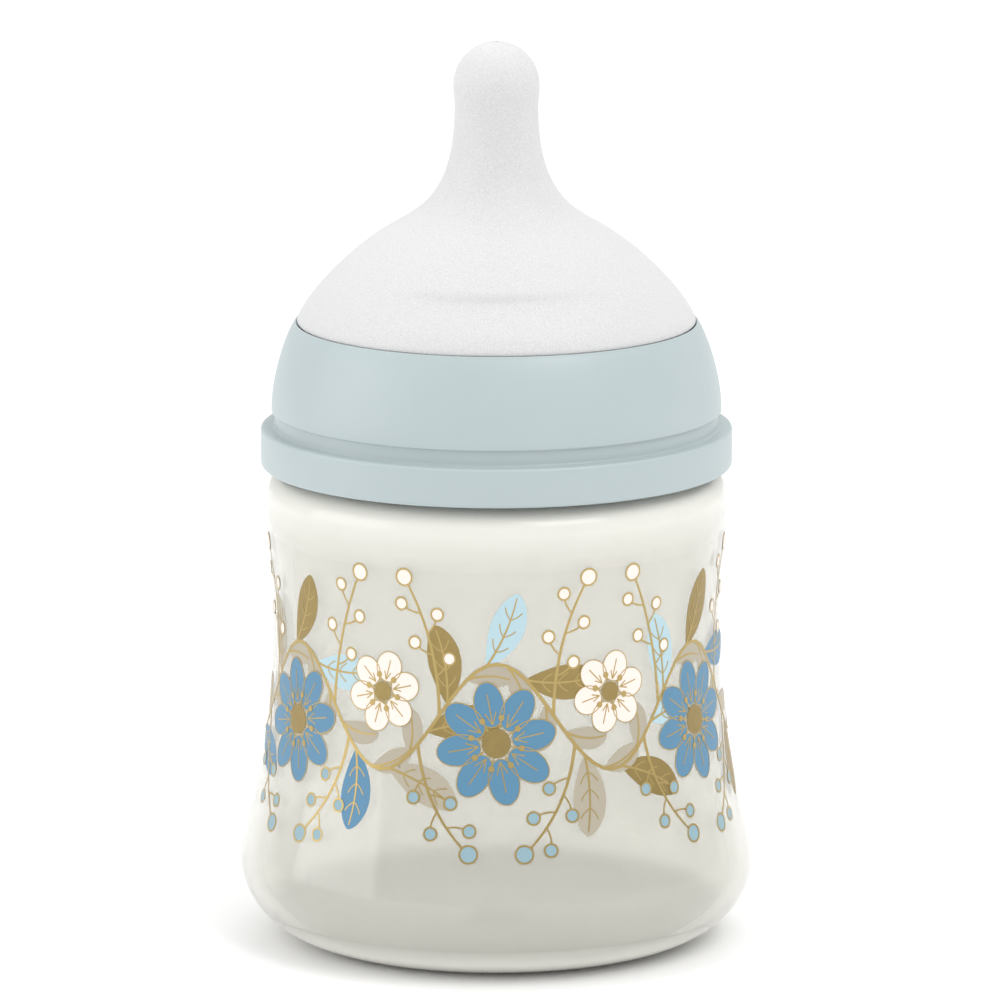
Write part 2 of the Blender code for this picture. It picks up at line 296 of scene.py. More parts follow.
profile = add_node(
    thread_tree,
    "GeometryNodeCurvePrimitiveQuadrilateral",
    {
        "Height": given["Profile Depth"],
        "Bottom Width": given["Root"],
        "Top Width": given["Crest"],
        "Offset": 0.0,
    },
    mode="TRAPEZOID",
)
profile_turn = add_node(thread_tree, "ShaderNodeCombineXYZ", {"Z": given["Profile Turn"]})
profile_shift = add_node(thread_tree, "ShaderNodeCombineXYZ", {"X": given["Profile Shift"]})
set_profile = add_node(
    thread_tree,
    "GeometryNodeTransform",
    {
        "Geometry": profile.outputs[0],
        "Rotation": profile_turn.outputs[0],
        "Translation": profile_shift.outputs[0],
    },
)
one_start = add_node(
    thread_tree,
    "GeometryNodeCurveToMesh",
    {
        "Curve": level.outputs[0],
        "Profile Curve": set_profile.outputs[0],
        "Scale": crest_share.outputs[0],
        "Fill Caps": True,
    },
)
lift = add_node(thread_tree, "ShaderNodeCombineXYZ", {"Z": given["Bottom"]})
first_turn = add_node(thread_tree, "ShaderNodeCombineXYZ", {"Z": given["First Angle"]})
first_start = add_node(
    thread_tree,
    "GeometryNodeTransform",
    {"Geometry": one_start.outputs[0], "Translation": lift.outputs[0], "Rotation": first_turn.outputs[0]},
)
centre_points = add_node(
    thread_tree, "GeometryNodeMeshLine", {"Count": given["Starts"], "Offset": (0, 0, 0)}, mode="OFFSET"
)
start_number = add_node(thread_tree, "GeometryNodeInputIndex")
start_share = add_node(
    thread_tree, "ShaderNodeMath", {0: start_number.outputs[0], 1: given["Starts"]}, operation="DIVIDE"
)
start_angle = add_node(
    thread_tree, "ShaderNodeMath", {0: start_share.outputs[0], 1: math.tau}, operation="MULTIPLY"
)
start_turn = add_node(thread_tree, "ShaderNodeCombineXYZ", {"Z": start_angle.outputs[0]})
all_starts = add_node(
    thread_tree,
    "GeometryNodeInstanceOnPoints",
    {
        "Points": centre_points.outputs[0],
        "Instance": first_start.outputs[0],
        "Rotation": start_turn.outputs[0],
    },
)
end_tree(thread_tree, all_starts.outputs[0], given["Material"])


def moulded_thread(name, wall_radius, outward, bottom, first_angle, turns):
    """Thread of all starts on a wall; outward is 1 on the outside of a neck and -1 inside a ring."""
    thread = grown(
        name,
        thread_tree,
        {
            "Root Radius": wall_radius,
            "Bottom": bottom,
            "First Angle": first_angle,
            "Turns": turns,
            "Lead": THREAD_LEAD,
            "Starts": THREAD_STARTS,
            "Profile Turn": -outward * math.pi / 2,
            "Profile Shift": outward * (THREAD_DEPTH - THREAD_SINK) / 2,
            "Root": THREAD_ROOT + 2 * THREAD_FLANK * THREAD_SINK,
            "Crest": THREAD_CREST,
            "Profile Depth": THREAD_DEPTH + THREAD_SINK,
            "Run Out": THREAD_RUNOUT_TURN,
        },
    )
    bm = bmesh.new()
    bm.from_mesh(thread.data)
    bmesh.ops.remove_doubles(bm, verts=bm.verts, dist=0.001 * MM)
    bmesh.ops.recalc_face_normals(bm, faces=bm.faces)
    bm.to_mesh(thread.data)
    bm.free()
    return thread


def combine(piece, tool, operation):
    """Joins a tool to a piece, or cuts it away, and removes the tool."""
    modifier = piece.modifiers.new(operation, "BOOLEAN")
    modifier.operation = operation
    modifier.object = tool
    graph = bpy.context.evaluated_depsgraph_get()
    mesh = bpy.data.meshes.new_from_object(piece.evaluated_get(graph))
    piece.modifiers.remove(modifier)
    piece.data = mesh
    mesh.set_sharp_from_angle(angle=math.radians(35))
    bpy.data.objects.remove(tool)


neck_turns = (NECK_HEIGHT - THREAD_BOTTOM - THREAD_TOP_MARGIN) / THREAD_LEAD
neck_thread = moulded_thread("neck_thread", NECK_RADIUS, 1, BODY_HEIGHT + THREAD_BOTTOM, 0, neck_turns)
combine(bottle, neck_thread, "UNION")


def linear(colour):
    """An sRGB hex colour such as #C9D6D8 as linear red, green, blue and 1."""
    values = [int(colour[place : place + 2], 16) / 255 for place in (1, 3, 5)]
    return (*[v / 12.92 if v <= 0.04045 else ((v + 0.055) / 1.055) ** 2.4 for v in values], 1)


def new_material(name):
    """A material with its Principled shader and the object's own coordinates, in metres."""
    made = bpy.data.materials.new(name)
    made.use_nodes = True
    tree = made.node_tree
    return made, tree, tree.nodes["Principled BSDF"], tree.nodes.new("ShaderNodeTexCoord").outputs["Object"]


# Blown polypropylene: clear with a faint warm haze, glossy, and slightly wavy where the wall was
# stretched. Its index is 1.49. The haze is the part of the light that the wall scatters: the thick base
# and neck, which blowing hardly stretches, are much hazier than the side.
WALL_CLARITY = 0.7
THICK_CLARITY = 0.1
BASE_HAZE_TOP = 5.0 * MM
HAZE_FADE = 2.6 * MM
clear_pp, tree, shader, place = new_material("blown_clear_polypropylene")
height = add_node(tree, "ShaderNodeSeparateXYZ", {"Vector": place})
clear_up = add_node(
    tree,
    "ShaderNodeMapRange",
    {
        "Value": height.outputs["Z"],
        "From Min": BASE_HAZE_TOP - HAZE_FADE,
        "From Max": BASE_HAZE_TOP,
        "To Min": THICK_CLARITY,
        "To Max": WALL_CLARITY,
    },
)
clear_down = add_node(
    tree,
    "ShaderNodeMapRange",
    {
        "Value": height.outputs["Z"],
        "From Min": BODY_HEIGHT - SHOULDER_ROUND - 2 * HAZE_FADE,
        "From Max": BODY_HEIGHT,
        "To Min": WALL_CLARITY,
        "To Max": THICK_CLARITY,
    },
)
clarity = add_node(
    tree, "ShaderNodeMath", {0: clear_up.outputs[0], 1: clear_down.outputs[0]}, operation="MINIMUM"
)
tree.links.new(clarity.outputs[0], shader.inputs["Transmission Weight"])
shader.inputs["IOR"].default_value = 1.49
haze = add_node(tree, "ShaderNodeTexNoise", {"Vector": place, "Scale": 1 / (9 * MM), "Detail": 3.0})
tint = add_node(
    tree,
    "ShaderNodeMix",
    {"Factor": haze.outputs["Fac"], 6: linear("#F6F5EF"), 7: linear("#F2F1E9")},
    data_type="RGBA",
)
gloss = add_node(
    tree, "ShaderNodeMapRange", {"Value": haze.outputs["Fac"], "To Min": 0.025, "To Max": 0.055}
)
waves = add_node(tree, "ShaderNodeTexNoise", {"Vector": place, "Scale": 1 / (6 * MM), "Detail": 1.0})
ripple = add_node(
    tree, "ShaderNodeBump", {"Height": waves.outputs["Fac"], "Distance": 0.02 * MM, "Strength": 0.5}
)
tree.links.new(tint.outputs[2], shader.inputs["Base Color"])
tree.links.new(gloss.outputs[0], shader.inputs["Roughness"])
tree.links.new(ripple.outputs[0], shader.inputs["Normal"])
bottle.data.materials.clear()
bottle.data.materials.append(clear_pp)

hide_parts("bottle_body")
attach(bottle, "bottle")

# ---------------------------------------------------------------------------------------------------
# Print on the wall
# A repeating frieze of leaves, flowers and berries on a wavy stem, screen-printed with stamped gold foil
# over the inks, round the front and sides. Each colour is a cured film on the wall. The art is drawn
# flat in millimetres: how far round the wall from the front, and how high.

PRINT_RADIUS = 32.0 * MM
FILM = 0.014 * MM
FILM_STEP = 0.017 * MM
FILM_STAGGER = 0.0006 * MM
WRAP_CUT_ROUND = 1.5
WRAP_CUT_UP = 2.5
OUTLINE = 0.13
TWIG = 0.24
FRIEZE_REPEATS = 3
FRIEZE_REPEAT = 33.0
FRIEZE_MIDDLE = 36.5
STEM_RISE = 7.5
LEAVES_PER_REPEAT = 12
OUTER_LEAF_INKS = ("cornflower", "taupe", "gold_leaf", "mist_blue", "gold_leaf")
INNER_LEAF_INK = "taupe"
LEAF_LEAN = math.radians(46)
flat_art = {}


def flat_side(path, index):
    """The unit step to the left of a flat path at one of its points."""
    before = path[max(index - 1, 0)]
    after = path[min(index + 1, len(path) - 1)]
    along = (after - before).normalized()
    return Vector((-along.y, along.x))


def art_for(ink, layer):
    """The flat mesh that an ink is drawn in, and a function that adds a point of this layer to it."""
    bm, count = flat_art.get(ink, (None, 0))
    bm = bm or bmesh.new()
    flat_art[ink] = (bm, count + 1)
    lift = FILM / 2 + layer * FILM_STEP + count % 23 * FILM_STAGGER
    return bm, lambda point: bm.verts.new((point.x * MM, lift, point.y * MM))


def band(ink, layer, path, half_width, columns=1):
    """Ink along a path; half_width is a number, or a function of how far along it is, from 0 to 1."""
    bm, put = art_for(ink, layer)
    rows = []
    length = sum((b - a).length for a, b in zip(path, path[1:]))
    gone = 0.0
    for index, point in enumerate(path):
        gone += (point - path[index - 1]).length if index else 0.0
        half = half_width(min(gone / length, 1.0)) if callable(half_width) else half_width
        side = flat_side(path, index) * half
        rows.append([put(point + side * (1 - 2 * column / columns)) for column in range(columns + 1)])
    for row, following in zip(rows, rows[1:]):
        for column in range(columns):
            bm.faces.new((row[column + 1], following[column + 1], following[column], row[column]))


def oval(centre, radii, turn, end, steps):
    """Points round a turned oval, from its own zero to this angle."""
    cos, sin = math.cos(turn), math.sin(turn)
    around = arc((0, 0), radii, 0, end, steps)
    return [Vector(centre) + Vector((x * cos - y * sin, x * sin + y * cos)) for x, y in around]


def disc(ink, layer, centre, radii, turn=0.0):
    bm, put = art_for(ink, layer)
    bm.faces.new([put(point) for point in oval(centre, radii, turn, 345, 23)])


def hoop(ink, layer, centre, radii, half_width, turn=0.0):
    band(ink, layer, oval(centre, radii, turn, 360, 30), half_width)


def midrib(base, tip, bow, steps=20):
    """The middle of a leaf from base to tip, bowed sideways half way, with its points closer at the ends."""
    start, end = Vector(base), Vector(tip)
    side = Vector((-(end - start).y, (end - start).x)).normalized()
    shares = [(1 - math.cos(math.pi * step / steps)) / 2 for step in range(steps + 1)]
    return [start.lerp(end, share) + side * bow * 4 * share * (1 - share) for share in shares]


def blade(ink, layer, base, tip, width, bow=0.0, widest=0.5, fullness=0.75):
    """A leaf; widest is where along it, and the fuller it is the rounder its ends are."""
    skew = math.log(0.5) / math.log(widest)
    band(
        ink,
        layer,
        midrib(base, tip, bow),
        lambda share: width / 2 * max(math.sin(math.pi * share**skew), 0) ** fullness,
        columns=2,
    )


def stem_at(x):
    """The wavy stem: a crest over the middle of each repeat and a trough where two repeats meet."""
    return Vector((x, FRIEZE_MIDDLE + STEM_RISE * math.cos(2 * math.pi * x / FRIEZE_REPEAT)))


def veined_leaf(ink, base, tip, width, bow):
    """A leaf with a foil midrib, and side veins if it is a wide one."""
    blade(ink, 0, base, tip, width, bow, 0.56, 0.62)
    middle = midrib(base, tip, bow)
    band("gold_line", 1, middle[:-3], lambda share: 0.17 - 0.08 * share)
    for index in (6, 9, 12) if width > 4 else ():
        along = (middle[index + 1] - middle[index]).normalized()
        for side in (-1, 1):
            reach = along * 0.3 * width + side * flat_side(middle, index) * 0.26 * width
            band("gold_line", 1, midrib(middle[index], middle[index] + reach, side * 0.15, 6), 0.08)


def berry(ink, centre, radius):
    disc(ink, 2, centre, (radius, radius))
    hoop("gold_line", 3, centre, (radius, radius), OUTLINE)


def sprig(base, tip, bow, ink):
    """A thin twig with berries on short stalks to its left and right in turn, and one at its tip."""
    main = midrib(base, tip, bow)
    band("gold_line", 1, main, lambda share: TWIG * (1 - 0.4 * share))
    for place, index in enumerate((7, 9, 11, 13)):
        along = (main[index + 1] - main[index]).normalized()
        side = 1 if place % 2 else -1
        end = main[index] + along * 2.1 + side * flat_side(main, index) * 2.2
        band("gold_line", 1, midrib(main[index], end, side * 0.3, 6), 0.5 * TWIG)
        berry(ink, end, 0.85)
    berry(ink, main[-1], 1.15)


def flower(ink, centre, radius, petals):
    """Oval petals with foil edges and veins about a foil heart, and a stamen in each gap between them."""
    petal_radii = (0.37 * radius, 0.6 * radius * math.tan(math.pi / petals))
    for petal in range(petals):
        turn = 2 * math.pi * (petal + 0.25) / petals
        out = Vector((math.cos(turn), math.sin(turn)))
        across = Vector((-out.y, out.x))
        disc(ink, 3, centre + out * 0.63 * radius, petal_radii, turn)
        hoop("gold_line", 4, centre + out * 0.63 * radius, petal_radii, 0.5 * OUTLINE, turn)
        for lean in (-0.3, 0, 0.3):
            vein = centre + (out + 0.6 * lean * across) * (0.8 - abs(lean)) * radius
            band("gold_line", 4, midrib(centre + out * 0.3 * radius, vein, 0, 8), 0.08)
        gap = turn + math.pi / petals
        end = centre + Vector((math.cos(gap), math.sin(gap))) * 0.42 * radius
        band("gold_line", 5, [centre, end], 0.1)
        disc("gold_line", 6, end, (0.42, 0.42))
    disc("gold_leaf", 7, centre, (0.24 * radius, 0.24 * radius))


half_frieze = FRIEZE_REPEATS * FRIEZE_REPEAT / 2
stem_steps = 24 * FRIEZE_REPEATS
stem = [stem_at(-half_frieze + 2 * half_frieze * step / stem_steps) for step in range(stem_steps + 1)]
band("gold_line", 2, stem, TWIG)
for leaf in range(LEAVES_PER_REPEAT * FRIEZE_REPEATS):
    x = -half_frieze + (leaf + 0.5) * FRIEZE_REPEAT / LEAVES_PER_REPEAT
    side = 1 if leaf % 2 else -1
    outside = side * math.cos(2 * math.pi * x / FRIEZE_REPEAT) > 0
    along = (stem_at(x + 0.1) - stem_at(x - 0.1)).normalized()
    lean = side * LEAF_LEAN
    toward = along * math.cos(lean) + Vector((-along.y, along.x)) * math.sin(lean)
    length, width = (10.8, 4.8) if outside else (6.4, 3.1)
    ink = OUTER_LEAF_INKS[leaf // 2 % len(OUTER_LEAF_INKS)] if outside else INNER_LEAF_INK
    veined_leaf(ink, stem_at(x), stem_at(x) + toward * length, width, -side * 0.6)
for repeat in range(FRIEZE_REPEATS):
    middle = (repeat - (FRIEZE_REPEATS - 1) / 2) * FRIEZE_REPEAT
    flower("cornflower", Vector((middle, FRIEZE_MIDDLE - 3.2)), 8.4, 8)
    for side in (-1, 1):
        sprig(stem_at(middle + side * 8), Vector((middle + side * 13.0, 55.5)), side * 1.2, "blush")
        sprig(stem_at(middle + side * 11), Vector((middle + side * 3.6, 18.5)), side * 1.4, "berry_blue")
for joint in range(FRIEZE_REPEATS - 1):
    trough = (joint + 1) * FRIEZE_REPEAT - half_frieze
    flower("blush", Vector((trough, FRIEZE_MIDDLE + 3.0)), 5.6, 6)

# One tree lays the flat art on the wall: it wraps each point round the centre line, meets the wall from
# outside, and stands off it by the film's own height.
wrap_tree, given = new_tree(
    "print_on_wall",
    {"Wall": "Object", "Print Radius": "Float", "Reach": "Float", "Material": "Material"},
)
flat_point = add_node(wrap_tree, "GeometryNodeInputPosition")
flat_parts = add_node(wrap_tree, "ShaderNodeSeparateXYZ", {"Vector": flat_point.outputs[0]})
round_angle = add_node(
    wrap_tree, "ShaderNodeMath", {0: flat_parts.outputs["X"], 1: given["Print Radius"]}, operation="DIVIDE"
)
sideways = add_node(wrap_tree, "ShaderNodeMath", {0: round_angle.outputs[0]}, operation="SINE")
frontways = add_node(wrap_tree, "ShaderNodeMath", {0: round_angle.outputs[0]}, operation="COSINE")
backways = add_node(wrap_tree, "ShaderNodeMath", {0: frontways.outputs[0], 1: -1.0}, operation="MULTIPLY")
outwards = add_node(wrap_tree, "ShaderNodeCombineXYZ", {"X": sideways.outputs[0], "Y": backways.outputs[0]})
reach_out = add_node(
    wrap_tree, "ShaderNodeVectorMath", {0: outwards.outputs[0], "Scale": given["Reach"]}, operation="SCALE"
)
at_height = add_node(wrap_tree, "ShaderNodeCombineXYZ", {"Z": flat_parts.outputs["Z"]})
far_point = add_node(
    wrap_tree, "ShaderNodeVectorMath", {0: reach_out.outputs[0], 1: at_height.outputs[0]}, operation="ADD"
)
inwards = add_node(
    wrap_tree, "ShaderNodeVectorMath", {0: outwards.outputs[0], "Scale": -1.0}, operation="SCALE"
)
wall = add_node(wrap_tree, "GeometryNodeObjectInfo", {"Object": given["Wall"]})
meets = add_node(
    wrap_tree,
    "GeometryNodeRaycast",
    {
        "Target Geometry": wall.outputs["Geometry"],
        "Source Position": far_point.outputs[0],
        "Ray Direction": inwards.outputs[0],
        "Ray Length": given["Reach"],
    },
)
stand_off = add_node(
    wrap_tree,
    "ShaderNodeVectorMath",
    {0: meets.outputs["Hit Normal"], "Scale": flat_parts.outputs["Y"]},
    operation="SCALE",
)
on_wall = add_node(
    wrap_tree,
    "ShaderNodeVectorMath",
    {0: meets.outputs["Hit Position"], 1: stand_off.outputs[0]},
    operation="ADD",
)
laid = add_node(
    wrap_tree, "GeometryNodeSetPosition", {"Geometry": given["Geometry"], "Position": on_wall.outputs[0]}
)
end_tree(wrap_tree, laid.outputs[0], given["Material"])


def lay_on_wall(name, bm, material, thickness):
    """Cuts flat art finely enough to bend, lays it on the wall and gives it its thickness."""
    bmesh.ops.remove_doubles(bm, verts=bm.verts, dist=0.0002 * MM)
    bmesh.ops.dissolve_degenerate(bm, edges=bm.edges, dist=0.0002 * MM)
    for axis, step in ((0, WRAP_CUT_ROUND), (2, WRAP_CUT_UP)):
        reach = [vert.co[axis] / MM for vert in bm.verts]
        normal = Vector((axis == 0, 0, axis == 2))
        for cut in range(math.ceil(min(reach) / step), math.ceil(max(reach) / step)):
            everything = bm.verts[:] + bm.edges[:] + bm.faces[:]
            bmesh.ops.bisect_plane(bm, geom=everything, plane_co=normal * cut * step * MM, plane_no=normal)
    bmesh.ops.triangulate(bm, faces=bm.faces)
    flat = bpy.data.meshes.new(name)
    bm.to_mesh(flat)
    bm.free()
    values = {"Wall": bottle, "Print Radius": PRINT_RADIUS, "Reach": 2 * BELLY_RADIUS, "Material": material}
    laid_art = grown(name, wrap_tree, values, flat)
    film = laid_art.modifiers.new("film", "SOLIDIFY")
    film.thickness = thickness
    film.offset = 1
    graph = bpy.context.evaluated_depsgraph_get()
    mesh = bpy.data.meshes.new_from_object(laid_art.evaluated_get(graph))
    laid_art.modifiers.remove(film)
    laid_art.data = mesh
    mesh.name = name
    mesh.shade_smooth()
    mesh.set_sharp_from_angle(angle=math.radians(35))
    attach(laid_art, "bottle")
    return laid_art


# Gold foil, hot-stamped: a thin metal film, brushed-bright where it lies flat, with a worn, slightly
# uneven gloss at about 1.5 mm. The lines are a paler gold than the leaves.
def foil(name, low, high, rough_low, rough_high):
    made, tree, shader, place = new_material(name)
    shader.inputs["Metallic"].default_value = 1.0
    wear = add_node(tree, "ShaderNodeTexNoise", {"Vector": place, "Scale": 1 / (1.5 * MM), "Detail": 4.0})
    shade = add_node(
        tree,
        "ShaderNodeMix",
        {"Factor": wear.outputs["Fac"], 6: linear(low), 7: linear(high)},
        data_type="RGBA",
    )
    dull = add_node(
        tree, "ShaderNodeMapRange", {"Value": wear.outputs["Fac"], "To Min": rough_low, "To Max": rough_high}
    )
    stamp = add_node(
        tree, "ShaderNodeBump", {"Height": wear.outputs["Fac"], "Distance": 0.004 * MM, "Strength": 0.4}
    )
    tree.links.new(shade.outputs[2], shader.inputs["Base Color"])
    tree.links.new(dull.outputs[0], shader.inputs["Roughness"])
    tree.links.new(stamp.outputs[0], shader.inputs["Normal"])
    return made


# Screen-printing ink, cured: satin, even in colour, with a faint mesh grain drawn at 0.25 mm.
def screen_ink(name, low, high):
    made, tree, shader, place = new_material(name)
    shader.inputs["IOR"].default_value = 1.48
    mesh_grain = add_node(
        tree, "ShaderNodeTexNoise", {"Vector": place, "Scale": 1 / (0.25 * MM), "Detail": 2.0}
    )
    shade = add_node(
        tree,
        "ShaderNodeMix",
        {"Factor": mesh_grain.outputs["Fac"], 6: linear(low), 7: linear(high)},
        data_type="RGBA",
    )
    satin_ink = add_node(
        tree, "ShaderNodeMapRange", {"Value": mesh_grain.outputs["Fac"], "To Min": 0.38, "To Max": 0.5}
    )
    tree.links.new(shade.outputs[2], shader.inputs["Base Color"])
    tree.links.new(satin_ink.outputs[0], shader.inputs["Roughness"])
    return made


inks = {
    "gold_leaf": foil("stamped_old_gold_foil", "#8E7C50", "#A08C5C", 0.30, 0.42),
    "gold_line": foil("stamped_gold_foil", "#A8935F", "#B8A26C", 0.26, 0.38),
    "cornflower": screen_ink("screen_printed_cornflower_ink", "#4F7F9F", "#5888A6"),
    "berry_blue": screen_ink("screen_printed_berry_ink", "#86A4AF", "#8FADB7"),
    "mist_blue": screen_ink("screen_printed_mist_ink", "#AAC6D0", "#B4CED6"),
    "taupe": screen_ink("screen_printed_taupe_ink", "#A79F8D", "#B0A896"),
    "blush": screen_ink("screen_printed_blush_ink", "#EDDFD6", "#F2E5DC"),
}
for ink, (bm, shapes) in flat_art.items():
    lay_on_wall(f"print_{ink}", bm, inks[ink], FILM)

# ---------------------------------------------------------------------------------------------------
# Teat
# Moulded silicone with a blasted, frosted surface: a wide dome, a long slim nipple and, hidden under
# the ring's lip, a flange. Two shallow channels under the flange let air in as the bottle empties.

TEAT_WALL = 1.9 * MM
TEAT_FLANGE = 1.6 * MM
TEAT_FLANGE_EDGE = 0.25 * MM
CONTACT_GAP = 0.3 * MM
SEAT_GAP = 0.06 * MM
RIM_REVEAL = 0.3 * MM
DOME_HEIGHT = 12.35 * MM
DOME_TOP_RADIUS = 15.1 * MM
FLANK_SLOPE = 0.613
NIPPLE_HEIGHT = 16.85 * MM
NIPPLE_WAIST_RADIUS = 5.68 * MM
BULB_HEIGHT = 2.8 * MM
BULB_RADIUS = 5.87 * MM
TIP_ROUND = 6.05 * MM
TIP_HOLE_RADIUS = 0.35 * MM
VENT_COUNT = 2
VENT_WIDTH = 1.4 * MM
VENT_DEPTH = 0.5 * MM
VENT_INSIDE = 0.6 * MM
LIP_REACH = 1.8 * MM
SEAT_WIDTH = 2.3 * MM
SEAT_HEIGHT = 2.9 * MM
STEP_HEIGHT = 92.9 * MM
STEP_FADE = 6.0 * MM
STEP_DEPTH = 0.8 * MM
STEP_DROP_SHARE = 0.26
STEP_HALF_ANGLE = math.radians(42)

ring_low, ring_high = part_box("screw_ring")
RING_TOP = ring_high.z
RING_BOTTOM = ring_low.z
FLANGE_RADIUS = ring_high.x
LIP_RADIUS = NECK_RADIUS - LIP_REACH
RIM_INNER_RADIUS = LIP_RADIUS + SEAT_WIDTH
RING_BORE = 27.95 * MM

edge = (RIM_INNER_RADIUS - SEAT_GAP, RING_TOP + RIM_REVEAL)
dome_top = (DOME_TOP_RADIUS, edge[1] + DOME_HEIGHT)
nipple_waist = (NIPPLE_WAIST_RADIUS, dome_top[1] + NIPPLE_HEIGHT)
bulb = (BULB_RADIUS, nipple_waist[1] + BULB_HEIGHT)
dome_width = edge[0] - DOME_TOP_RADIUS
flank_width = DOME_TOP_RADIUS - NIPPLE_WAIST_RADIUS
dome_pull = 0.484 * dome_width
flank_pull = 0.457 * flank_width
teat_outside = [edge]
teat_outside += curve(
    edge, (-0.055 * dome_width, 0.2 * DOME_HEIGHT), (dome_pull, -FLANK_SLOPE * dome_pull), dome_top, 34
)
teat_outside += curve(
    dome_top, (-flank_pull, FLANK_SLOPE * flank_pull), (0, -0.744 * NIPPLE_HEIGHT), nipple_waist, 22
)
teat_outside += upright(nipple_waist, bulb, 0.4, 0.4, 6)
hole_angle = math.degrees(math.acos(TIP_HOLE_RADIUS / BULB_RADIUS))
teat_outside += arc((0, bulb[1]), (BULB_RADIUS, TIP_ROUND), 0, hole_angle, 16)[1:]
teat_inside = inset(teat_outside, TEAT_WALL)
teat_inside[-1] = (TIP_HOLE_RADIUS, teat_inside[-1][1])

flange_radius = RING_BORE - CONTACT_GAP - MOUTH_EDGE / 2
flange_bottom = MOUTH_HEIGHT + CONTACT_GAP
flange_top = flange_bottom + TEAT_FLANGE
teat_waist_radius = LIP_RADIUS - CONTACT_GAP
bore_radius = teat_waist_radius - TEAT_WALL
seat_top = RING_TOP + SEAT_GAP
flange_round = (TEAT_FLANGE_EDGE, TEAT_FLANGE_EDGE)
teat_outline = [(bore_radius, flange_bottom)]
edge_centre = flange_radius - TEAT_FLANGE_EDGE
teat_outline += arc((edge_centre, flange_bottom + TEAT_FLANGE_EDGE), flange_round, 270, 360, 4)
teat_outline += arc((edge_centre, flange_top - TEAT_FLANGE_EDGE), flange_round, 0, 90, 4)
teat_outline += [(teat_waist_radius, flange_top), (teat_waist_radius, seat_top - SEAT_HEIGHT)]
teat_outline += [(edge[0], seat_top)] + teat_outside + teat_inside[::-1]
teat_outline.append((bore_radius, seat_top - SEAT_HEIGHT))
teat = turned("teat_soft", teat_outline)

for vent in range(VENT_COUNT):
    inner_end = NECK_RADIUS - WALL - VENT_INSIDE
    outer_end = flange_radius + TEAT_WALL
    bm = bmesh.new()
    bmesh.ops.create_cube(bm, size=1)
    bmesh.ops.scale(bm, vec=(outer_end - inner_end, VENT_WIDTH, 2 * VENT_DEPTH), verts=bm.verts)
    bmesh.ops.translate(bm, vec=((outer_end + inner_end) / 2, 0, flange_bottom), verts=bm.verts)
    channel = as_object(f"vent_{vent}", bm)
    channel.rotation_euler.z = math.tau * vent / VENT_COUNT
    bpy.context.view_layer.update()
    combine(teat, channel, "DIFFERENCE")

# The dome's front has one shallow step: at a level line the wall falls back, then eases out again
for vert in teat.data.vertices:
    x, y, z = vert.co
    r = math.hypot(x, y)
    below = (STEP_HEIGHT - z) / STEP_FADE
    aside = abs(math.atan2(x, -y)) / STEP_HALF_ANGLE
    if r < NIPPLE_WAIST_RADIUS or not 0 <= below <= 1 or aside >= 1:
        continue
    if below < STEP_DROP_SHARE:
        fall = math.sin(math.pi / 2 * below / STEP_DROP_SHARE) ** 2
    else:
        fall = math.cos(math.pi / 2 * (below - STEP_DROP_SHARE) / (1 - STEP_DROP_SHARE)) ** 2
    depth = STEP_DEPTH * fall * math.cos(math.pi / 2 * aside)
    vert.co.x -= depth * x / r
    vert.co.y -= depth * y / r

# Silicone, moulded in a blasted mould: it glows a little as light soaks in, is matt, and shows a fine
# grain. The real grain is about 0.1 mm; it is drawn at 0.22 mm so that it shows.
silicone, tree, shader, place = new_material("blasted_silicone")
shader.inputs["Subsurface Weight"].default_value = 0.5
shader.inputs["Subsurface Radius"].default_value = (1.0, 1.0, 1.0)
shader.inputs["Subsurface Scale"].default_value = 2.5 * MM
shader.inputs["Transmission Weight"].default_value = 0.1
shader.inputs["IOR"].default_value = 1.41
grain = add_node(tree, "ShaderNodeTexNoise", {"Vector": place, "Scale": 1 / (0.22 * MM), "Detail": 2.0})
grain_colour = add_node(
    tree,
    "ShaderNodeMix",
    {"Factor": grain.outputs["Fac"], 6: linear("#C0C1C0"), 7: linear("#E7E7E7")},
    data_type="RGBA",
)
matt = add_node(tree, "ShaderNodeMapRange", {"Value": grain.outputs["Fac"], "To Min": 0.42, "To Max": 0.62})
frost = add_node(
    tree, "ShaderNodeBump", {"Height": grain.outputs["Fac"], "Distance": 0.05 * MM, "Strength": 0.5}
)
tree.links.new(grain_colour.outputs[2], shader.inputs["Base Color"])
tree.links.new(matt.outputs[0], shader.inputs["Roughness"])
tree.links.new(frost.outputs[0], shader.inputs["Normal"])
teat.data.materials.clear()
teat.data.materials.append(silicone)

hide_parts("teat")
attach(teat, "teat")

# ---------------------------------------------------------------------------------------------------
# Screw ring
# Moulded polypropylene, coloured through in a pale blue-green: a rounded shell over a groove, and a
# flange below it. Its lip clamps the teat's flange on the mouth, and its thread takes the neck's.

RING_WALL = 2.65 * MM
FLANGE_HEIGHT = 5.3 * MM
GROOVE_DEPTH = 0.45 * MM
GROOVE_HEIGHT = 2.2 * MM
GROOVE_FILLET = 0.45 * MM
LIP_THICKNESS = 1.6 * MM
RIM_WALL = 0.4 * MM
SHELL_EDGE = 0.2 * MM
FLANGE_TOP_EDGE = 0.35 * MM
FLANGE_BOTTOM_EDGE = 0.6 * MM
RING_MOUTH_CHAMFER = 0.6 * MM
CORE_WALL = 1.4 * MM
CORE_DEPTH = 4.0 * MM
SCREW_CLEARANCE = 0.35 * MM
RING_THREAD_LAG = math.radians(40)
RING_THREAD_TURNS = 150 / 360

